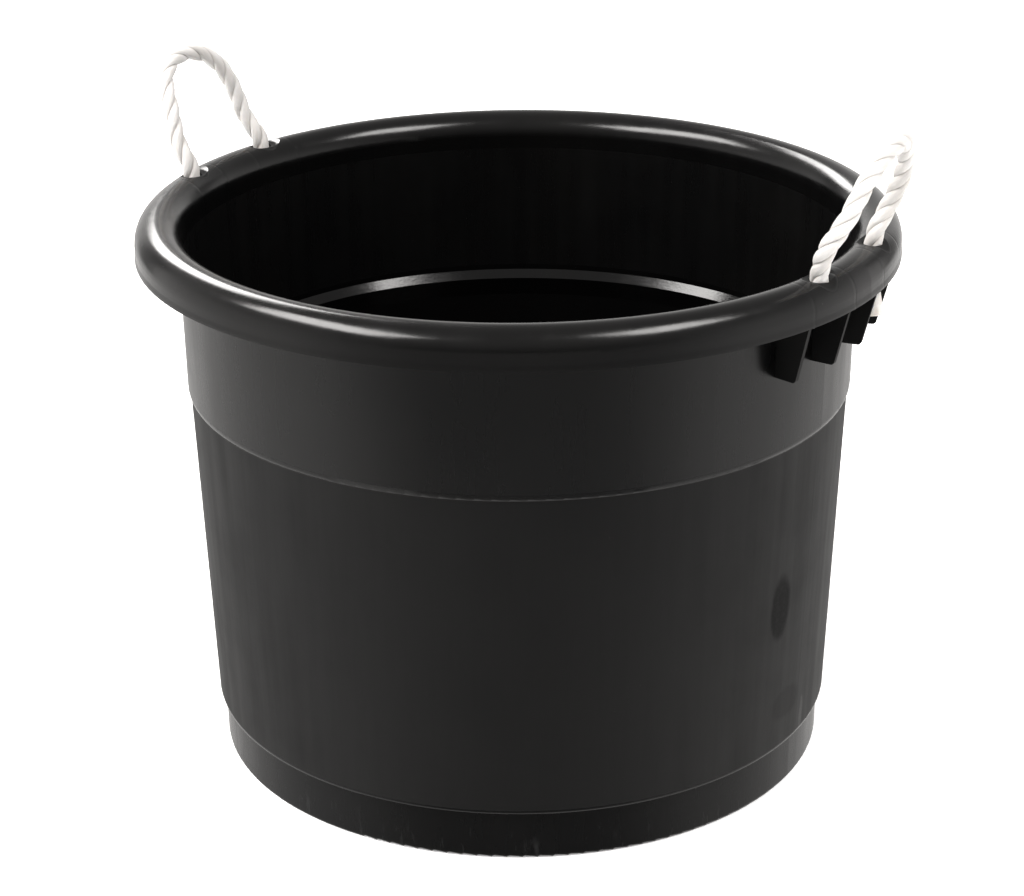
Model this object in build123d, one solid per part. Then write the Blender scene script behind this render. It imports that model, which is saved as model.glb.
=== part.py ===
from build123d import *
import math
import os

# A round stable bucket with two rope handles, in millimetres. +Z is up, the origin is on the
# ground under the middle of the base, and the handles stand on the X axis. The bucket is one
# plastic moulding: its floor, wall, rim and gussets are written as zones that meet face to face.
# Each handle is one length of twisted rope, melted into a flared knob at both ends.

# Bucket
HEIGHT = 414.0            # ground to the crown of the rim
RIM_RADIUS = 280.0        # outside of the bead along the rim's lower edge
WALL = 3.2                # plastic thickness everywhere
ROLL_RADIUS = 17.0        # outside of the rounded rim
SKIRT_DROP = 10.0         # straight skirt below the middle of the rounded rim
BEAD = 0.5                # how far the bead stands out from the skirt
BEAD_HEIGHT = 1.6
BEAD_SLOPE = 3.0          # height over which the bead runs back into the skirt
BAND_HEIGHT = 99.5        # glossy upper band, from the skirt's edge to the upper shoulder
BAND_TAPER = 0.018        # radius lost per millimetre of depth in the band
WALL_TAPER = 0.041        # the same in the wall below it
UPPER_STEP = 1.9          # how far the wall steps in under the band
UPPER_SHOULDER = 5.0      # height of the rounded shoulder that this step makes
LEDGE = 6.0               # width and height of the sloping ledge inside the bucket
LEDGE_DROP = 4.4          # from the top of the upper shoulder down to the ledge
LEDGE_BLEND = 15.0        # the wall thins to its usual thickness over this height below the ledge
BASE_HEIGHT = 41.0        # ground to the top of the lower shoulder
LOWER_STEP = 4.5          # how far the base steps in under the wall
LOWER_SHOULDER = 5.0      # height of its rounded shoulder
BASE_TAPER = 0.011        # radius lost per millimetre of depth in the base
FOOT_CORNER = 2.5         # rounding between the base and the ground
FOOT_WIDTH = 12.0         # width of the ring that the bucket stands on
FLOOR_RAISE = 3.5         # gap under the floor, inside that ring

# Gussets under the rim, and the holes that the rope goes through
GUSSET = 3.0              # thickness
GUSSET_DROP = 43.5        # how far they reach below the skirt's edge
GUSSET_REACH = 17.5       # how far their lower edge stands out from the band
GUSSET_CORNER = 3.0
GUSSET_FIT = 0.02         # keeps a gusset's square edges out of the curved rim
HOLE_SPACING = 92.0       # between the two holes of one handle
HOLE_INSET = 15.5         # from the rim's outer edge to the middle of each hole
BOSS_RADIUS = 15.0        # thickened plastic under each hole
BOSS_DEPTH = 6.0
DISH_DEPTH = 3.2          # the rim is dished around each hole by this much
DISH_RADIUS = 45.0        # of the sphere that makes the dish

# Rope
ROPE = 12.7               # diameter
HOLE_PLAY = 1.15          # free space around the rope in its hole
BEND_LIFT = 7.7           # height of the rope's bending point above the dish
BALL_GAP = 0.3            # space between the parts of a handle that turn on each other
FLARE = 21.6              # diameter of the melted knob at its flat end
FLARE_LENGTH = 20.0
FLARE_EDGE = 1.5
RIGHT_KNOBS = (35.0, 58.5)  # from the bending points down to the knobs, first leg and last leg
LEFT_KNOBS = (55.5, 55.5)   # the left arch is shorter, so more of that rope hangs under the rim

# Levels and radii that follow from these
ROLL_Z = HEIGHT - ROLL_RADIUS
ROLL_CENTRE = RIM_RADIUS - BEAD - ROLL_RADIUS
SKIRT_Z = ROLL_Z - SKIRT_DROP
STEP_Z = SKIRT_Z - BAND_HEIGHT
BAND_TOP = ROLL_CENTRE - ROLL_RADIUS + WALL - BAND_TAPER * SKIRT_DROP
BAND_FOOT = BAND_TOP - BAND_TAPER * BAND_HEIGHT
WALL_TOP = BAND_FOOT - UPPER_STEP
WALL_TOP_Z = STEP_Z - UPPER_SHOULDER
WALL_FOOT = WALL_TOP - WALL_TAPER * (WALL_TOP_Z - BASE_HEIGHT)
BASE_TOP = WALL_FOOT - LOWER_STEP
BASE_TOP_Z = BASE_HEIGHT - LOWER_SHOULDER
BASE_FOOT = BASE_TOP - BASE_TAPER * BASE_TOP_Z
FLOOR_TOP = FLOOR_RAISE + WALL
FOOT_TOP = BASE_FOOT + BASE_TAPER * FLOOR_TOP
FLOOR_RIM = BASE_FOOT - WALL
LEDGE_Z = STEP_Z - LEDGE_DROP
BLEND_Z = LEDGE_Z - LEDGE - LEDGE_BLEND
DISH_Z = HEIGHT - DISH_DEPTH
BEND_Z = DISH_Z + BEND_LIFT
HOLE_RADIUS = RIM_RADIUS - HOLE_INSET
HALF_SPAN = HOLE_SPACING / 2
HOLE_ANGLE = math.degrees(math.asin(HALF_SPAN / HOLE_RADIUS))
HANDLE_X = HOLE_RADIUS * math.cos(math.radians(HOLE_ANGLE))
MITRE = WALL * math.tan(math.radians(22.5))

# Each rope arch between its two bending points, as it stands on the +X side with its -Y leg
# first; the left one is then turned half round the bucket's axis. A row holds the leg, how far
# the point stands outside that leg's hole, its distance out from the handle's line of holes,
# and its height above the bending points.
RIGHT_ARCH = [
    (-1, 9.5, 8.0, 18.0), (-1, 5.0, 21.0, 39.0), (-1, -9.5, 27.0, 63.0), (-1, -33.0, 32.5, 78.5),
    (1, -32.0, 32.0, 80.0), (1, -9.5, 26.5, 65.5), (1, 4.5, 18.0, 42.5), (1, 8.0, 8.0, 20.0),
]
LEFT_ARCH = [
    (-1, -2.0, 14.0, 15.5), (-1, -3.5, 21.5, 39.0), (-1, -13.5, 29.0, 61.5), (-1, -34.0, 36.0, 73.5),
    (1, -33.0, 38.0, 73.0), (1, -13.5, 32.5, 61.0), (1, -4.5, 20.0, 40.0), (1, 1.5, 11.5, 16.5),
]


def turned(outline):
    """A ring about the bucket's axis, from a closed outline of radius and height."""
    return revolve(Plane.XZ * make_face(outline), Axis.Z)


def closed(*points):
    return Polyline(*points, close=True)


def shoulder(radius, height, step, drop):
    """The rounded line along which the bucket's outside steps in, from its top down."""
    return TangentArc((radius, height), (radius - step, height - drop), tangent=(0, -1))


def floor():
    """The floor plate, raised inside the foot ring."""
    return turned(closed(
        (0, FLOOR_RAISE), (FLOOR_RIM, FLOOR_RAISE), (FLOOR_RIM, FLOOR_TOP), (0, FLOOR_TOP),
    ))


def foot():
    """The ring round the floor that the bucket stands on."""
    outline = Polyline(
        (BASE_FOOT, FOOT_CORNER), (FOOT_TOP, FLOOR_TOP), (FLOOR_RIM, FLOOR_TOP), (FLOOR_RIM, FLOOR_RAISE),
        (BASE_FOOT - FOOT_WIDTH, FLOOR_RAISE), (BASE_FOOT - FOOT_WIDTH, 0), (BASE_FOOT - FOOT_CORNER, 0),
    )
    corner = CenterArc((BASE_FOOT - FOOT_CORNER, FOOT_CORNER), FOOT_CORNER, -90, 90)
    return turned([*outline.edges(), *corner.edges()])


def base():
    """The stepped-in base, from the foot ring to the lower shoulder."""
    outline = Polyline(
        (WALL_FOOT, BASE_HEIGHT), (WALL_FOOT - WALL, BASE_HEIGHT + MITRE),
        (BASE_TOP - WALL, BASE_TOP_Z + MITRE), (FLOOR_RIM, FLOOR_TOP),
        (FOOT_TOP, FLOOR_TOP), (BASE_TOP, BASE_TOP_Z),
    )
    round_step = shoulder(WALL_FOOT, BASE_HEIGHT, LOWER_STEP, LOWER_SHOULDER)
    return turned([*outline.edges(), *round_step.edges()])


def wall():
    """The long wall between the two shoulders, with the ledge inside it."""
    blend = WALL_TOP - WALL - WALL_TAPER * (WALL_TOP_Z - BLEND_Z)
    outline = Polyline(
        (BAND_FOOT, STEP_Z), (BAND_FOOT - WALL, STEP_Z), (BAND_FOOT - WALL, LEDGE_Z),
        (BAND_FOOT - WALL - LEDGE, LEDGE_Z - LEDGE), (blend, BLEND_Z),
        (WALL_FOOT - WALL, BASE_HEIGHT + MITRE), (WALL_FOOT, BASE_HEIGHT), (WALL_TOP, WALL_TOP_Z),
    )
    round_step = shoulder(BAND_FOOT, STEP_Z, UPPER_STEP, UPPER_SHOULDER)
    return turned([*outline.edges(), *round_step.edges()])


def band():
    """The upper band, between the upper shoulder and the rim."""
    return turned(closed(
        (BAND_FOOT, STEP_Z), (BAND_TOP, SKIRT_Z),
        (BAND_TOP - WALL, SKIRT_Z), (BAND_FOOT - WALL, STEP_Z),
    ))


def hole_places():
    """Where the four rope holes go through the rim, as directions from the bucket's axis."""
    return [turn + side * HOLE_ANGLE for turn in (0, 180) for side in (-1, 1)]


def at_hole(angle, height):
    """A place on the middle line of the rope hole at this angle."""
    return Rot(0, 0, angle) * Pos(HOLE_RADIUS, 0, height)


def rim():
    """The rounded rim with its skirt, dished, thickened and drilled for the ropes."""
    skirt_out = RIM_RADIUS - BEAD
    inside = ROLL_RADIUS - WALL
    over = CenterArc((ROLL_CENTRE, ROLL_Z), ROLL_RADIUS, 0, 180)
    under = CenterArc((ROLL_CENTRE, ROLL_Z), inside, 0, 180)
    neck = Polyline(
        (ROLL_CENTRE - ROLL_RADIUS, ROLL_Z), (BAND_TOP - WALL, SKIRT_Z),
        (BAND_TOP, SKIRT_Z), (ROLL_CENTRE - inside, ROLL_Z),
    )
    skirt = Polyline(
        (ROLL_CENTRE + inside, ROLL_Z), (ROLL_CENTRE + inside, SKIRT_Z),
        (RIM_RADIUS, SKIRT_Z), (RIM_RADIUS, SKIRT_Z + BEAD_HEIGHT),
        (skirt_out, SKIRT_Z + BEAD_HEIGHT + BEAD_SLOPE), (skirt_out, ROLL_Z),
    )
    shell = turned([*over.edges(), *neck.edges(), *under.edges(), *skirt.edges()])
    chord = Line((skirt_out, ROLL_Z), (ROLL_CENTRE - ROLL_RADIUS, ROLL_Z))
    solid_roll = turned([*over.edges(), *chord.edges()])
    for angle in hole_places():
        boss = at_hole(angle, DISH_Z - BOSS_DEPTH) * Cylinder(
            BOSS_RADIUS, ROLL_RADIUS, align=(Align.CENTER, Align.CENTER, Align.MIN))
        shell += boss & solid_roll
    for angle in hole_places():
        shell -= at_hole(angle, ROLL_Z) * Cylinder(ROPE / 2 + HOLE_PLAY, 4 * ROLL_RADIUS)
    for angle in hole_places():
        shell -= at_hole(angle, DISH_Z + DISH_RADIUS) * Sphere(DISH_RADIUS)
    return shell


def gusset(angle):
    """A flat plate that props the rim against the band, beside a rope hole."""
    low = SKIRT_Z - GUSSET_DROP
    low_wall = BAND_TOP - BAND_TAPER * GUSSET_DROP
    inside = ROLL_RADIUS - WALL - GUSSET_FIT
    toe = (low_wall + GUSSET_REACH, low)
    edge = Polyline(
        (ROLL_CENTRE - inside, ROLL_Z), (BAND_TOP, SKIRT_Z), (low_wall, low), toe,
        (ROLL_CENTRE + inside, SKIRT_Z), (ROLL_CENTRE + inside, ROLL_Z),
    )
    top = CenterArc((ROLL_CENTRE, ROLL_Z), inside, 0, 180)
    face = make_face([*edge.edges(), *top.edges()])
    face = fillet(face.vertices().sort_by_distance((*toe, 0))[0], GUSSET_CORNER)
    return Rot(0, 0, angle) * extrude(Plane.XZ * face, GUSSET / 2, both=True)


def arc_radii(points):
    """The largest arc that the runs on both sides of each bend leave room for."""
    radii = []
    for before, here, after in zip(points, points[1:], points[2:]):
        turn = math.radians((here - before).get_angle(after - here))
        shorter = min((here - before).length, (after - here).length)
        radii.append(0.45 * shorter / math.tan(turn / 2))
    return radii


def arch_points(name, side, rows):
    """The rope's route between its two bending points, for the handle on this side."""
    route = [(-1, 0.0, 0.0, 0.0), *rows, (1, 0.0, 0.0, 0.0)]
    points = [
        Vector(HANDLE_X + out, leg * (HALF_SPAN + aside), BEND_Z + up) for leg, aside, out, up in route
    ]
    print(name, "arc radii", [round(r, 1) for r in arc_radii(points)])
    return [Vector(side * p.X, side * p.Y, p.Z) for p in points]


def grip(name, side, rows):
    """The arch of rope above the rim, with ball ends that turn at the bending points."""
    points = arch_points(name, side, rows)
    path = FilletPolyline(*points, radius=arc_radii(points))
    tube = sweep(Plane(origin=path @ 0, z_dir=path % 0) * Circle(ROPE / 2), path=path)
    print(name, "length", round(path.length, 1), "volume ratio",
          round(tube.volume / (math.pi * ROPE ** 2 / 4 * path.length), 4))
    for end in (points[0], points[-1]):
        tube += Pos(*end) * Sphere(ROPE / 2)
    return tube


def tail(angle, knob_z):
    """The rope in its hole, from the knob up to just below the bending point."""
    low = knob_z + FLARE_LENGTH
    high = BEND_Z - ROPE / 2 - BALL_GAP
    return at_hole(angle, low) * Cylinder(
        ROPE / 2, high - low, align=(Align.CENTER, Align.CENTER, Align.MIN))


def knob(angle, knob_z):
    """The rope's melted end, flared so that it can't be pulled back through the hole."""
    cone = Cone(FLARE / 2, ROPE / 2, FLARE_LENGTH, align=(Align.CENTER, Align.CENTER, Align.MIN))
    cone = fillet(cone.edges().sort_by(Axis.Z)[0], FLARE_EDGE)
    return at_hole(angle, knob_z) * cone


def handle(name, side, rows, knob_drops):
    """All the nodes of one rope handle, and the gussets beside it."""
    turn = 0 if side > 0 else 180
    nodes = {f"{name}_rope_grip": grip(name, side, rows)}
    for end, leg, drop in zip("ab", (-1, 1), knob_drops):
        angle = turn + leg * HOLE_ANGLE
        knob_z = BEND_Z - drop
        nodes[f"{name}_rope_tail_{end}"] = tail(angle, knob_z)
        nodes[f"{name}_rope_knob_{end}"] = knob(angle, knob_z)
    for number, step in enumerate((-1.5, -0.5, 0.5, 1.5), start=1):
        nodes[f"{name}_gusset_{number}"] = gusset(turn + step * HOLE_ANGLE)
    return nodes


nodes = {
    "bucket_floor": floor(),
    "bucket_foot": foot(),
    "bucket_base": base(),
    "bucket_wall": wall(),
    "bucket_band": band(),
    "bucket_rim": rim(),
    **handle("right", 1, RIGHT_ARCH, RIGHT_KNOBS),
    **handle("left", -1, LEFT_ARCH, LEFT_KNOBS),
}
os.makedirs("parts", exist_ok=True)
for name, shape in nodes.items():
    export_step(shape, f"parts/{name}.step")
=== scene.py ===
import bpy
import math
import random
from mathutils import Matrix, Vector


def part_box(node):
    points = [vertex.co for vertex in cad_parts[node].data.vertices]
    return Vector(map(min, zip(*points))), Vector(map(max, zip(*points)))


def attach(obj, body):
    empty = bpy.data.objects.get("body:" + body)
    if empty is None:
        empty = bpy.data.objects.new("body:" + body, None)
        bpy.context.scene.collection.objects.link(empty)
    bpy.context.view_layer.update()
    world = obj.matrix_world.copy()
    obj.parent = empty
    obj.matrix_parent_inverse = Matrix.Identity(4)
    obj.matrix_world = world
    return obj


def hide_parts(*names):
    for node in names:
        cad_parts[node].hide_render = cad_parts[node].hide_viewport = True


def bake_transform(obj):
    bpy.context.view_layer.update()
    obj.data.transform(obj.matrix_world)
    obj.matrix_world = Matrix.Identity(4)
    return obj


# A black feed bucket with two rope handles. Metres, +Z up, the handles on the X axis.
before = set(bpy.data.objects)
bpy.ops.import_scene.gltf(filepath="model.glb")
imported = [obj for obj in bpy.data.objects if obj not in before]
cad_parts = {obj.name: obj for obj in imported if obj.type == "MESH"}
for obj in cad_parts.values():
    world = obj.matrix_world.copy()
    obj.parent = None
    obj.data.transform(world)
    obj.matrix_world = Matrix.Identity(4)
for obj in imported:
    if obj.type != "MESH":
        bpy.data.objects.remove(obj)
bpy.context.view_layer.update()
random.seed(7)

# The bucket, read from the frame
RIM_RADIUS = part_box("bucket_rim")[1].y
SKIRT_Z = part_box("bucket_rim")[0].z
FLOOR_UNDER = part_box("bucket_floor")[0].z
WALL_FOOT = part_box("bucket_base")[1].y
BASE_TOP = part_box("bucket_wall")[0].z
WALL_TAPER = 0.041        # radius gained per metre of height
WALL_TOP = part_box("bucket_wall")[1].z
SHOULDER = 0.005          # height of the rounded step at the top of the wall and of the base
SHOULDER_ROUGH = 0.17
SHARP_EDGE = math.radians(28)  # corners above this angle stay crisp
KNOB_RADIUS = 0.0108      # at the flat end
KNOB_NECK = 0.0062        # radius of the same knob where the rope enters it

# The rope. Each row of an arch is a leg, then metres aside, outwards and above the bending point.
LAY = 0.047               # length of one full turn of a strand
STRAND_REACH = 0.00345    # from the middle of the rope to the middle of a strand
STRAND_DEEP = 0.00315     # half of a strand's size towards the rope's middle
STRAND_WIDE = 0.00400     # half of its size across that
RIDGES = 9                # low ridges round a strand, the bundles of yarn
RIDGE_HEIGHT = 0.022      # as a share of the strand's size
RIDGE_TWIST = 300         # turn of the ridges, in radians per metre of rope
ROPE_STEP = 0.0012        # distance between the rings of a strand
HALF_SPAN = 0.046         # from the handle's middle to each hole
HANDLE_X = 0.2604693      # from the bucket's axis to the line through the holes
BEND_Z = 0.4185           # where the handle bends above its holes
DISH_FADE = (0.0135, 0.0105)  # distances from a hole's axis over which its dish turns dull
HOLE_ANGLE = math.atan2(HALF_SPAN, HANDLE_X)
SINK_HALF_ANGLE = 0.008   # half the width of a sink line, as an angle about the bucket's axis
RIGHT_ARCH = [
    (-1, 0.0095, 0.008, 0.018), (-1, 0.005, 0.021, 0.039), (-1, -0.0095, 0.027, 0.063),
    (-1, -0.033, 0.0325, 0.0785), (1, -0.032, 0.032, 0.080), (1, -0.0095, 0.0265, 0.0655),
    (1, 0.0045, 0.018, 0.0425), (1, 0.008, 0.008, 0.020),
]
LEFT_ARCH = [
    (-1, -0.002, 0.014, 0.0155), (-1, -0.0035, 0.0215, 0.039), (-1, -0.0135, 0.029, 0.0615),
    (-1, -0.034, 0.036, 0.0735), (1, -0.033, 0.038, 0.073), (1, -0.0135, 0.0325, 0.061),
    (1, -0.0045, 0.020, 0.040), (1, 0.0015, 0.0115, 0.0165),
]


# ---------------------------------------------------------------- materials
class Nodes:
    """A short way to write the nodes of a material or of the world."""

    def __init__(self, owner, shader="Principled BSDF"):
        self.owner = owner
        owner.use_nodes = True
        self.tree = owner.node_tree
        self.shader = self.tree.nodes[shader]

    def set(self, socket, value):
        if isinstance(value, bpy.types.NodeSocket):
            self.tree.links.new(value, socket)
        else:
            socket.default_value = value

    def add(self, kind, output=0, settings=None, **inputs):
        node = self.tree.nodes.new(kind)
        for key, value in (settings or {}).items():
            setattr(node, key, value)
        for key, value in inputs.items():
            self.set(node.inputs[key.replace("_", " ")], value)
        return node.outputs[output]

    def position(self, scale=(1, 1, 1)):
        place = self.add("ShaderNodeTexCoord", "Object")
        return self.add("ShaderNodeMapping", Vector=place, Scale=scale)

    def part(self, axis, vector):
        return self.add("ShaderNodeSeparateXYZ", axis, Vector=vector)

    def noise(self, vector, scale, detail=3.0, roughness=0.5):
        return self.add("ShaderNodeTexNoise", "Fac", Vector=vector, Scale=scale, Detail=detail,
                        Roughness=roughness)

    def math(self, operation, a, b=0.0, c=0.0):
        node = self.tree.nodes.new("ShaderNodeMath")
        node.operation = operation
        for socket, value in zip(node.inputs, (a, b, c)):
            self.set(socket, value)
        return node.outputs[0]

    def vector(self, operation, a, b=None, output="Vector", **inputs):
        node = self.tree.nodes.new("ShaderNodeVectorMath")
        node.operation = operation
        self.set(node.inputs[0], a)
        if b is not None:
            self.set(node.inputs[1], b)
        for key, value in inputs.items():
            self.set(node.inputs[key], value)
        return node.outputs[output]

    def level_length(self, vector):
        """Length of a vector seen from above."""
        return self.vector("LENGTH", self.vector("MULTIPLY", vector, (1, 1, 0)), output="Value")

    def span(self, value, low, high, to_low=0.0, to_high=1.0):
        return self.add("ShaderNodeMapRange", "Result", {"interpolation_type": "SMOOTHSTEP"},
                        Value=value, From_Min=low, From_Max=high, To_Min=to_low, To_Max=to_high)

    def mix(self, factor, a, b):
        node = self.tree.nodes.new("ShaderNodeMix")
        node.data_type = "RGBA"
        self.set(node.inputs[0], factor)
        self.set(node.inputs[6], a)
        self.set(node.inputs[7], b)
        return node.outputs[2]

    def blend(self, factor, a, b):
        return self.math("ADD", a, self.math("MULTIPLY", factor, self.math("SUBTRACT", b, a)))

    def bump(self, height, distance, strength=1.0, normal=None):
        node = self.tree.nodes.new("ShaderNodeBump")
        self.set(node.inputs["Height"], height)
        self.set(node.inputs["Distance"], distance)
        self.set(node.inputs["Strength"], strength)
        if normal is not None:
            self.set(node.inputs["Normal"], normal)
        return node.outputs[0]

    def surface(self, **inputs):
        for key, value in inputs.items():
            self.set(self.shader.inputs[key.replace("_", " ")], value)
        return self.owner


def new_material(name):
    return Nodes(bpy.data.materials.new(name))


def spot(n, here, place, size, ragged):
    """1 inside a ragged oval of this size about a place on the surface, 0 outside it."""
    wobble = n.add("ShaderNodeTexNoise", "Color", Vector=here, Scale=60.0, Detail=3.0)
    shift = n.vector("SCALE", n.vector("SUBTRACT", wobble, (0.5, 0.5, 0.5)), Scale=ragged)
    offset = n.vector("DIVIDE", n.vector("SUBTRACT", n.vector("ADD", here, shift), place), size)
    reach = n.vector("LENGTH", offset, output="Value")
    return n.span(reach, 1.15, 0.75)


def sink_lines(n, here):
    """1 along the upright lines where a gusset stands behind the skirt, 0 elsewhere."""
    x = n.part("X", here)
    y = n.part("Y", here)
    angle = n.math("ABSOLUTE", n.math("ARCTAN2", y, n.math("ABSOLUTE", x)))
    outer = n.math("ABSOLUTE", n.math("SUBTRACT", angle, 1.5 * HOLE_ANGLE))
    inner = n.math("ABSOLUTE", n.math("SUBTRACT", angle, 0.5 * HOLE_ANGLE))
    return n.span(n.math("MINIMUM", outer, inner), SINK_HALF_ANGLE, 0.0)


def rope_dishes(n, here):
    """1 in the four dishes around the rope holes, 0 a little outside them."""
    offset = n.vector("SUBTRACT", n.vector("ABSOLUTE", here), (HANDLE_X, HALF_SPAN, 0.0))
    return n.span(n.level_length(offset), *DISH_FADE)


def inside_wall(n, here, height):
    """1 on the inner face of the wall between the two shoulders, 0 on its outer face."""
    outer = n.math("MULTIPLY_ADD", n.math("SUBTRACT", height, BASE_TOP), WALL_TAPER, WALL_FOOT)
    return n.span(n.math("SUBTRACT", outer, n.level_length(here)), 0.0006, 0.0014)


def step_shoulder(n, height, top):
    """1 on the shoulder that ends at this height, 0 below and above it."""
    low = top - SHOULDER
    above_low = n.span(height, low - 0.001, low + 0.001)
    return n.math("MULTIPLY", above_low, n.span(height, top + 0.003, top + 0.001))


def moulded_black(name, rough, rough_spread, peel, gloss=0.35, inner_rough=None, step=None, sinks=False,
                  marks=()):
    """Black polyethylene: tone drift, faint upright streaks, orange peel, specks and a scuffed foot.

    The inside of the wall can be smoother, a step's shoulder glossier, and the rim has its sink
    lines and dull dishes. Marks are places where the finish is duller or smoother.
    """
    n = new_material(name)
    here = n.position()
    broad = n.noise(here, 5.0, 4.0)
    streaks = n.noise(n.position((1.0, 1.0, 0.05)), 70.0, 5.0, 0.6)
    cloud = n.noise(here, 22.0, 5.0, 0.6)
    fine = n.noise(here, 420.0, 3.0)
    grain = n.noise(here, 2600.0, 2.0)
    height = n.part("Z", here)
    scratched = n.noise(n.position((1.0, 1.0, 0.22)), 190.0, 4.0, 0.65)
    foot_wear = n.math("MULTIPLY", n.span(height, 0.030, 0.0), n.span(scratched, 0.56, 0.72))
    cells = n.add("ShaderNodeTexVoronoi", "Distance", Vector=here, Scale=70.0, Randomness=1.0)
    specks = n.math("MULTIPLY", n.span(cells, 0.045, 0.02), n.span(n.noise(here, 9.0), 0.5, 0.6))
    base = n.mix(n.span(broad, 0.3, 0.7), (0.0016, 0.0016, 0.0018, 1), (0.0032, 0.0031, 0.0030, 1))
    scuffed = n.mix(n.math("MULTIPLY", foot_wear, 0.35), base, (0.035, 0.035, 0.036, 1))
    colour = n.mix(n.math("MULTIPLY", specks, 0.5), scuffed, (0.030, 0.029, 0.028, 1))
    roughness = n.math("ADD", n.span(streaks, 0.25, 0.8, rough, rough + rough_spread),
                       n.span(cloud, 0.35, 0.75, 0.0, 0.5 * rough_spread))
    roughness = n.math("ADD", roughness, n.math("MULTIPLY", n.math("MAXIMUM", foot_wear, specks), 0.12))
    for place, size, gain in marks:
        oval = spot(n, here, place, size, 0.25 * size[2])
        mark = n.math("MULTIPLY", oval, n.span(fine, 0.2, 0.6, 0.7, 1.0))
        roughness = n.math("ADD", roughness, n.math("MULTIPLY", mark, gain))
    if step:
        roughness = n.blend(step_shoulder(n, height, step), roughness, SHOULDER_ROUGH)
    if inner_rough:
        smooth = n.span(cloud, 0.3, 0.8, inner_rough, inner_rough + 0.05)
        roughness = n.blend(inside_wall(n, here, height), roughness, smooth)
    relief = n.math("ADD", n.math("MULTIPLY", fine, 0.7), n.math("MULTIPLY", grain, 0.3))
    normal = n.bump(relief, peel, 0.6)
    if sinks:
        roughness = n.math("MULTIPLY_ADD", rope_dishes(n, here), 0.70, roughness)
        normal = n.bump(sink_lines(n, here), -0.00012, 0.8, normal)
    n.shader.inputs["IOR"].default_value = 1.5
    n.shader.inputs["Specular IOR Level"].default_value = gloss
    return n.surface(Base_Color=colour, Roughness=roughness, Normal=normal)


def rope_white(name):
    """White polypropylene: fine lines between fibre bundles along each strand and the grooves between
    strands, both darkened with painted shade, and a soft sheen.
    """
    n = new_material(name)
    here = n.position()
    uv = n.add("ShaderNodeUVMap", 0, {"uv_map": "strand"})
    across = n.part("X", uv)
    along = n.part("Y", uv)
    twisted = n.math("ADD", n.math("MULTIPLY", across, 26.0), n.math("MULTIPLY", along, 240.0))
    lines = n.math("ABSOLUTE", n.math("SINE", n.math("MULTIPLY", twisted, math.pi)))
    hair_place = n.add("ShaderNodeCombineXYZ", 0, X=n.math("MULTIPLY", across, 60.0),
                       Y=n.math("MULTIPLY", along, 420.0), Z=0.0)
    hair = n.noise(hair_place, 1.0, 4.0, 0.6)
    tint = n.noise(here, 45.0, 3.0)
    base = n.mix(n.span(tint, 0.3, 0.7), (0.78, 0.765, 0.75, 1), (0.68, 0.655, 0.63, 1))
    # Painted shade: the thin twisted lines between fibre bundles, where the bump has its valleys, are
    # darkened to a brown grey; the lines themselves are the rope's real lay.
    yarn_lines_shaded = n.mix(n.span(lines, 0.0, 0.45, 0.30, 0.0), base, (0.40, 0.36, 0.33, 1))
    # Painted shade: the sides and inner faces of each strand, in the grooves where the strands meet, are
    # darkened to a dark brown grey.
    groove_shade = n.math("ABSOLUTE", n.math("SINE", n.math("MULTIPLY", across, math.pi)))
    colour = n.mix(n.span(groove_shade, 0.45, 0.95, 0.0, 0.60), yarn_lines_shaded, (0.26, 0.22, 0.20, 1))
    relief = n.math("ADD", n.math("MULTIPLY", lines, 0.7), n.math("MULTIPLY", hair, 0.5))
    return n.surface(Base_Color=colour, Roughness=n.span(hair, 0.3, 0.7, 0.42, 0.62), IOR=1.49,
                     Normal=n.bump(relief, 0.00025, 0.6), Subsurface_Weight=0.15,
                     Subsurface_Radius=(0.003, 0.0025, 0.002), Sheen_Weight=0.25)


def melted_white(name):
    """Fused rope: waxy white, faintly yellowed and uneven."""
    n = new_material(name)
    here = n.position()
    broad = n.noise(here, 160.0, 4.0)
    fine = n.noise(here, 900.0, 3.0)
    colour = n.mix(n.span(broad, 0.35, 0.7), (0.74, 0.73, 0.71, 1), (0.62, 0.58, 0.53, 1))
    return n.surface(Base_Color=colour, Roughness=n.span(fine, 0.3, 0.7, 0.3, 0.5), IOR=1.49,
                     Normal=n.bump(n.math("ADD", broad, fine), 0.0004, 0.7), Subsurface_Weight=0.25,
                     Subsurface_Radius=(0.004, 0.003, 0.002))


def studio_white(name):
    """Backlit paper, white with a faint unevenness."""
    n = new_material(name)
    shade = n.span(n.noise(n.position(), 0.8), 0.3, 0.7, 0.90, 0.94)
    paper = n.add("ShaderNodeCombineColor", 0, Red=shade, Green=shade, Blue=shade)
    n.shader.inputs["Emission Color"].default_value = (1, 1, 1, 1)
    n.shader.inputs["Emission Strength"].default_value = 0.40
    return n.surface(Base_Color=paper, Roughness=0.9)


# A dull oval, a faint scuff and a smoother streak on the wall, as place, half size and added roughness
WALL_MARKS = [
    ((0.2375, -0.0376, 0.158), (0.012, 0.012, 0.025), 0.28),
    ((0.2347, -0.0195, 0.074), (0.012, 0.020, 0.013), 0.06),
    ((0.2350, 0.0080, 0.052), (0.012, 0.003, 0.016), -0.12),
]
RIM_LOOK = moulded_black("rim_gloss", 0.16, 0.06, 0.00005, sinks=True)
BAND_LOOK = moulded_black("band_gloss", 0.24, 0.08, 0.00006, gloss=0.42)
BASE_LOOK = moulded_black("base_gloss", 0.22, 0.08, 0.00006, gloss=0.19, step=BASE_TOP)
SATIN = moulded_black("bucket_satin", 0.50, 0.10, 0.00009, gloss=0.33, inner_rough=0.09, step=WALL_TOP,
                       marks=WALL_MARKS)
ROPE_LOOK = rope_white("rope_fibre")
KNOB_LOOK = melted_white("rope_melted")


def dress(node, material):
    """Gives a CAD node its finished material and smooth shading."""
    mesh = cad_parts[node].data
    mesh.materials.clear()
    mesh.materials.append(material)
    mesh.shade_smooth()
    mesh.set_sharp_from_angle(angle=SHARP_EDGE)


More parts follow.
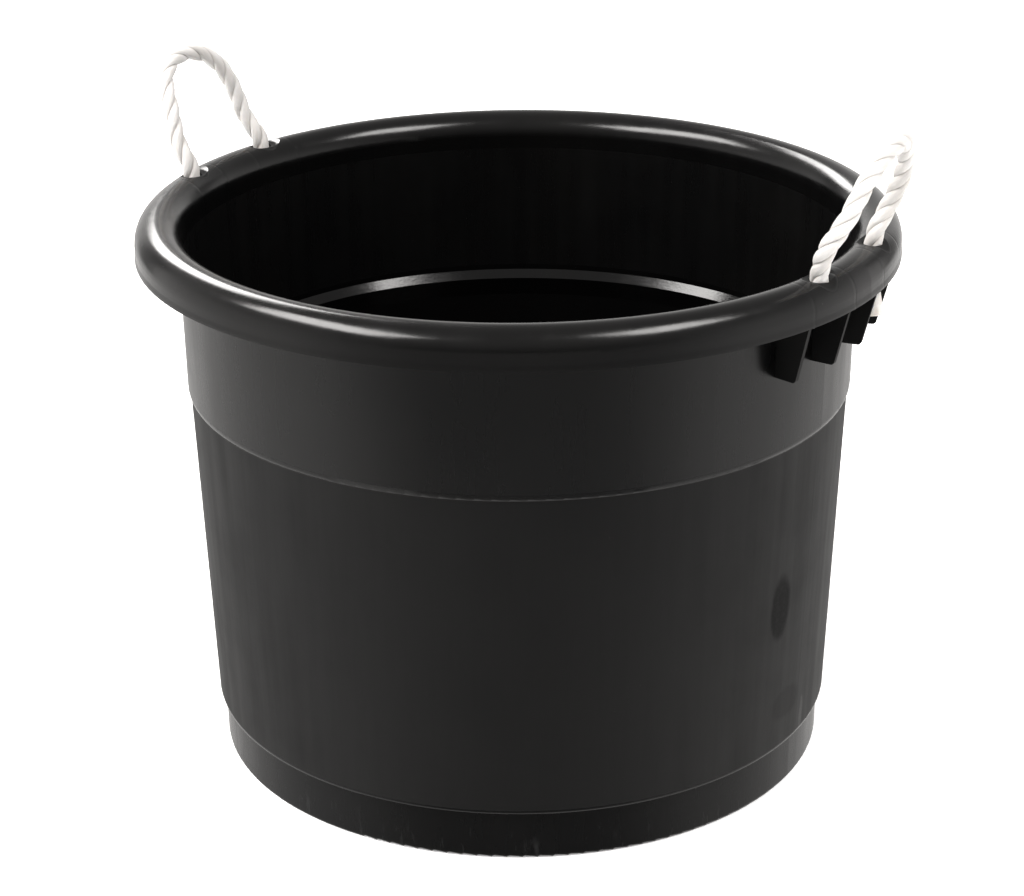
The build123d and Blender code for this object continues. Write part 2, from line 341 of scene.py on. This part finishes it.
LOOKS = {
    "bucket_rim": RIM_LOOK, "bucket_band": BAND_LOOK, "bucket_base": BASE_LOOK, "bucket_foot": BASE_LOOK,
}
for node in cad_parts:
    if "rope" not in node:
        dress(node, LOOKS.get(node, SATIN))


# ---------------------------------------------------------------- mesh helpers
def mesh_piece(name, verts, faces, material):
    mesh = bpy.data.meshes.new(name)
    mesh.from_pydata([tuple(v) for v in verts], [], faces)
    mesh.materials.append(material)
    mesh.shade_smooth()
    piece = bpy.data.objects.new(name, mesh)
    bpy.context.scene.collection.objects.link(piece)
    return piece


def spline_points(name, route):
    """Points along the smooth NURBS line that has the route as its control points."""
    curve = bpy.data.curves.new(name, "CURVE")
    curve.dimensions = "3D"
    spline = curve.splines.new("NURBS")
    spline.points.add(len(route) - 1)
    for point, place in zip(spline.points, route):
        point.co = (*place, 1.0)
    spline.order_u = 3
    spline.use_endpoint_u = True
    spline.resolution_u = 24
    holder = bpy.data.objects.new(name, curve)
    bpy.context.scene.collection.objects.link(holder)
    bpy.context.view_layer.update()
    mesh = bpy.data.meshes.new_from_object(holder)
    points = [v.co.copy() for v in mesh.vertices]
    bpy.data.objects.remove(holder)
    bpy.data.meshes.remove(mesh)
    return points


def even_points(points, step):
    """The same line, with its points evenly spaced."""
    reach = [0.0]
    for a, b in zip(points, points[1:]):
        reach.append(reach[-1] + (b - a).length)
    count = round(reach[-1] / step)
    even = []
    at = 0
    for i in range(count + 1):
        want = reach[-1] * i / count
        while at < len(points) - 2 and reach[at + 1] < want:
            at += 1
        share = (want - reach[at]) / max(reach[at + 1] - reach[at], 1e-9)
        even.append(points[at].lerp(points[at + 1], min(share, 1.0)))
    return even, reach[-1]


def carried_frames(points, first_side):
    """A tangent and two side directions at each point, with no twist from point to point."""
    frames = []
    side = first_side
    for i, here in enumerate(points):
        tangent = (points[min(i + 1, len(points) - 1)] - points[max(i - 1, 0)]).normalized()
        side = (side - tangent * side.dot(tangent)).normalized()
        frames.append((here, tangent, side, tangent.cross(side)))
    return frames


# ---------------------------------------------------------------- rope
def strand(frames, step, phase, verts, faces, coords):
    """One twisted strand: an oval tube whose middle winds round the rope's line."""
    around = 32
    first = len(verts)
    pitch = 2 * math.pi / LAY
    for i, (here, tangent, side, other) in enumerate(frames):
        turn = phase + pitch * step * i
        out = side * math.cos(turn) + other * math.sin(turn)
        along_turn = other * math.cos(turn) - side * math.sin(turn)
        heading = (tangent + along_turn * STRAND_REACH * pitch).normalized()
        across = heading.cross(out).normalized()
        for k in range(around):
            a = 2 * math.pi * k / around
            ridge = 1.0 + RIDGE_HEIGHT * math.cos(RIDGES * a + RIDGE_TWIST * step * i)
            flat = STRAND_DEEP * math.cos(a) * ridge
            wide = STRAND_WIDE * math.sin(a) * ridge
            verts.append(here + out * (STRAND_REACH + flat) + across * wide)
            coords.append((k / around, step * i))
    for i in range(len(frames) - 1):
        for k in range(around):
            near = first + i * around
            ahead = near + around
            k2 = (k + 1) % around
            faces.append((near + k, near + k2, ahead + k2, ahead + k))
    for ring in (first, first + (len(frames) - 1) * around):
        faces.append(tuple(ring + k for k in range(around)))


def rope_mesh(name, points, step):
    """Three strands round the line, with a map that runs round and along each strand."""
    frames = carried_frames(points, Vector((1, 0, 0)))
    verts, faces, coords = [], [], []
    for k in range(3):
        strand(frames, step, 2 * math.pi * k / 3, verts, faces, coords)
    piece = mesh_piece(name, verts, faces, ROPE_LOOK)
    layer = piece.data.uv_layers.new(name="strand")
    for polygon in piece.data.polygons:
        seam = max(coords[v][0] for v in polygon.vertices) > 0.9 and len(polygon.vertices) == 4
        for corner in polygon.loop_indices:
            u, v = coords[piece.data.loops[corner].vertex_index]
            layer.data[corner].uv = (u + 1.0 if seam and u < 0.1 else u, v)
    return piece


def knob_mesh(name, middle, low, high):
    """The melted end: three strands that open out and run together into a flat, lipped disc."""
    around, rings = 72, 22
    verts, faces = [], []
    random.random()           # one draw is passed over, so that each knob keeps its own turn
    turn0 = 2 * math.pi * random.random()
    for i in range(rings + 1):
        t = i / rings
        z = high + (low - high) * t
        radius = KNOB_NECK + (KNOB_RADIUS - KNOB_NECK) * t ** 1.15
        lobes = 0.13 * (1 - t) ** 1.5
        for k in range(around):
            a = 2 * math.pi * k / around
            wave = 1 + lobes * (math.cos(3 * (a - turn0) + 2.0 * t) - 1) * 0.5
            rough = 1 - 0.02 * (1 + math.sin(5 * a + turn0)) * t - 0.006 * (1 + math.sin(17 * a + 9 * t))
            lip = 1 - 0.10 * max(0.0, (t - 0.93) / 0.07) ** 2
            r = radius * wave * rough * lip
            verts.append(Vector((middle.x + r * math.cos(a), middle.y + r * math.sin(a), z)))
    for ring, (share, rise) in enumerate(((0.80, 0.0001), (0.62, 0.0006), (0.34, 0.0010))):
        for k in range(around):
            a = 2 * math.pi * k / around
            r = KNOB_RADIUS * share * (1 - 0.03 * math.sin(3 * a + turn0 + ring))
            z = low + rise + 0.0003 * math.sin(7 * a + ring) ** 2
            verts.append(Vector((middle.x + r * math.cos(a), middle.y + r * math.sin(a), z)))
    total = rings + 3
    for i in range(total):
        for k in range(around):
            near, ahead, k2 = i * around, (i + 1) * around, (k + 1) % around
            faces.append((near + k, near + k2, ahead + k2, ahead + k))
    faces.append(tuple(range(around)))
    faces.append(tuple(total * around + k for k in reversed(range(around))))
    return mesh_piece(name, verts, [f[::-1] for f in faces], KNOB_LOOK)


def rope_handle(name, side, rows):
    """One rope, from knob to knob, with its two melted ends."""
    low_a, low_b = (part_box(f"{name}_rope_tail_{end}")[0].z for end in "ab")
    first, last = (Vector((HANDLE_X, leg * HALF_SPAN, 0)) for leg in (-1, 1))
    route = [first + Vector((0, 0, z)) for z in (low_a, (low_a + BEND_Z) / 2, BEND_Z)]
    route += [Vector((HANDLE_X + out, leg * (HALF_SPAN + aside), BEND_Z + up))
              for leg, aside, out, up in rows]
    route += [last + Vector((0, 0, z)) for z in (BEND_Z, (low_b + BEND_Z) / 2, low_b)]
    route = [Vector((side * p.x, side * p.y, p.z)) for p in route]
    points, length = even_points(spline_points(f"{name}_rope_line", route), ROPE_STEP)
    rope = rope_mesh(f"{name}_rope", points, length / (len(points) - 1))
    for end in ("a", "b"):
        low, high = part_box(f"{name}_rope_knob_{end}")
        knob = knob_mesh(f"{name}_knob_{end}", (low + high) / 2, low.z, high.z)
        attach(knob, f"{name}_rope_ends")
        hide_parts(f"{name}_rope_knob_{end}")
    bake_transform(rope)
    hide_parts(f"{name}_rope_grip", f"{name}_rope_tail_a", f"{name}_rope_tail_b")


rope_handle("right", 1, RIGHT_ARCH)
rope_handle("left", -1, LEFT_ARCH)


# ---------------------------------------------------------------- moulding marks
def lathe(verts, faces, middle, profile, around=20):
    """Adds a small turned form: a profile of radius and height about an upright line."""
    first = len(verts)
    for radius, height in profile:
        for k in range(around):
            a = 2 * math.pi * k / around
            verts.append(middle + Vector((radius * math.cos(a), radius * math.sin(a), height)))
    for i in range(len(profile) - 1):
        for k in range(around):
            near, ahead, k2 = first + i * around, first + (i + 1) * around, (k + 1) % around
            faces.append((near + k, ahead + k, ahead + k2, near + k2))
    last = first + (len(profile) - 1) * around
    faces.append(tuple(first + k for k in range(around)))
    faces.append(tuple(last + k for k in reversed(range(around))))


def moulding_mark(name, forms):
    """One piece of small turned forms that belongs to the bucket's moulding."""
    verts, faces = [], []
    for middle, profile in forms:
        lathe(verts, faces, middle, profile)
    piece = mesh_piece(name, verts, faces, RIM_LOOK)
    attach(piece, "bucket")


def skirt_nubs():
    """Trimmed gate stubs on the skirt's edge, in front of the first two gussets of each handle."""
    stub = [(0.0006 + 0.0005 * math.sin(t), -0.0009 * math.cos(t)) for t in (0.0, 0.5, 1.0, 1.4)]
    stub.append((0.0011, 0.0003))
    forms = []
    for turn in (0.0, math.pi):
        for step in (-1.5, -0.5):
            angle = turn + step * HOLE_ANGLE
            reach = RIM_RADIUS - 0.0018
            forms.append((Vector((reach * math.cos(angle), reach * math.sin(angle), SKIRT_Z)), stub))
    moulding_mark("skirt_nubs", forms)


def gate_mark():
    """The round stub under the middle of the floor where the plastic came in."""
    profile = [(0.0008, -0.0004), (0.0020, -0.0016), (0.0035, -0.0017), (0.0042, -0.0009),
               (0.0100, -0.0007), (0.0130, -0.0003), (0.0140, 0.0002)]
    moulding_mark("gate_mark", [(Vector((0, 0, FLOOR_UNDER)), profile)])


skirt_nubs()
gate_mark()


# ---------------------------------------------------------------- studio
VIEW_AZIMUTH = math.radians(30.2)
VIEW_ELEVATION = 0.3882
VIEW_DISTANCE = 2.0214
VIEW_ROLL = 0.0084
VIEW_SHIFT = (0.0057, -0.0102)
VIEW_AIM = Vector((0, 0, 0.21))
LENS = 93.4
RIGHT = Vector((math.cos(VIEW_AZIMUTH), math.sin(VIEW_AZIMUTH), 0))
BACK = Vector((-math.sin(VIEW_AZIMUTH), math.cos(VIEW_AZIMUTH), 0))
FLOOR_HALF = 9.0
LIGHT_DISTANCE = 6.0
LIGHT_AIM = Vector((0, 0, 0.3))
WARM = (1.0, 0.98, 0.96)


def floor():
    """White paper. What the plastic mirrors in its place is the lower half of the world."""
    corners = [(x * FLOOR_HALF, y * FLOOR_HALF, 0) for x, y in ((-1, -1), (1, -1), (1, 1), (-1, 1))]
    paper = mesh_piece("studio_floor", corners, [(0, 1, 2, 3)], studio_white("studio_paper"))
    paper.visible_glossy = False


def surroundings():
    """A plain white room that lights less from overhead, from the front and from two gaps behind."""
    world = bpy.data.worlds.new("studio")
    bpy.context.scene.world = world
    n = Nodes(world, "Background")
    way = n.add("ShaderNodeTexCoord", "Generated")
    z = n.part("Z", way)
    ahead = n.vector("DOT_PRODUCT", way, tuple(-BACK), output="Value")
    front = n.math("DIVIDE", ahead, n.math("ADD", n.level_length(way), 0.001))
    below = n.span(z, -0.96, -0.90, 1.2, n.span(front, 0.25, 0.95, 1.0, 0.33))
    above = n.span(z, 0.05, 0.70, n.span(front, 0.25, 1.0, 1.0, 0.12), 0.4)
    gap = n.span(n.math("ABSOLUTE", n.math("ADD", front, 0.75)), 0.13, 0.05)
    gap_height = n.math("MULTIPLY", n.span(z, -0.25, -0.12), n.span(z, 0.45, 0.30))
    dimmed = n.math("SUBTRACT", 1.0, n.math("MULTIPLY", n.math("MULTIPLY", gap, gap_height), 0.7))
    light = n.math("MULTIPLY", n.span(z, -0.02, 0.02, below, above), dimmed)
    n.shader.inputs["Color"].default_value = (*WARM, 1)
    seen = n.add("ShaderNodeLightPath", "Is Camera Ray")
    n.set(n.shader.inputs["Strength"], n.blend(seen, light, 1.0))


def softbox(name, azimuth, elevation, width, height, radiance):
    """A soft light that faces the bucket. Azimuth 0 is behind it and 90 on the right."""
    a, e = math.radians(azimuth), math.radians(elevation)
    way = (RIGHT * math.sin(a) + BACK * math.cos(a)) * math.cos(e) + Vector((0, 0, math.sin(e)))
    light = bpy.data.lights.new(name, "AREA")
    light.shape = "RECTANGLE"
    light.size = width
    light.size_y = height
    light.energy = radiance * width * height * 4
    light.color = WARM
    lamp = bpy.data.objects.new(name, light)
    bpy.context.scene.collection.objects.link(lamp)
    lamp.location = LIGHT_AIM + way * LIGHT_DISTANCE
    lamp.rotation_euler = (-way).to_track_quat("-Z", "Y").to_euler()


def camera():
    """Looks down at the bucket from between its handles, almost level."""
    ahead = BACK * math.cos(VIEW_ELEVATION)
    ahead.z = -math.sin(VIEW_ELEVATION)
    up = RIGHT.cross(ahead)
    place = VIEW_AIM - ahead * VIEW_DISTANCE - RIGHT * VIEW_SHIFT[0] - up * VIEW_SHIFT[1]
    across = RIGHT * math.cos(VIEW_ROLL) - up * math.sin(VIEW_ROLL)
    rise = RIGHT * math.sin(VIEW_ROLL) + up * math.cos(VIEW_ROLL)
    data = bpy.data.cameras.new("camera")
    data.lens = LENS
    eye = bpy.data.objects.new("camera", data)
    eye.matrix_world = Matrix((across, rise, -ahead)).transposed().to_4x4()
    eye.location = place
    bpy.context.scene.collection.objects.link(eye)
    bpy.context.scene.camera = eye


floor()
surroundings()
softbox("back_left", -23, 31, 1.7, 2.4, 11.5)
softbox("left_top", -106, 50, 4.6, 1.9, 15.0)
softbox("right_top", 119, 56, 2.5, 1.9, 13.0)
camera()
bpy.context.scene.view_settings.view_transform = "Standard"
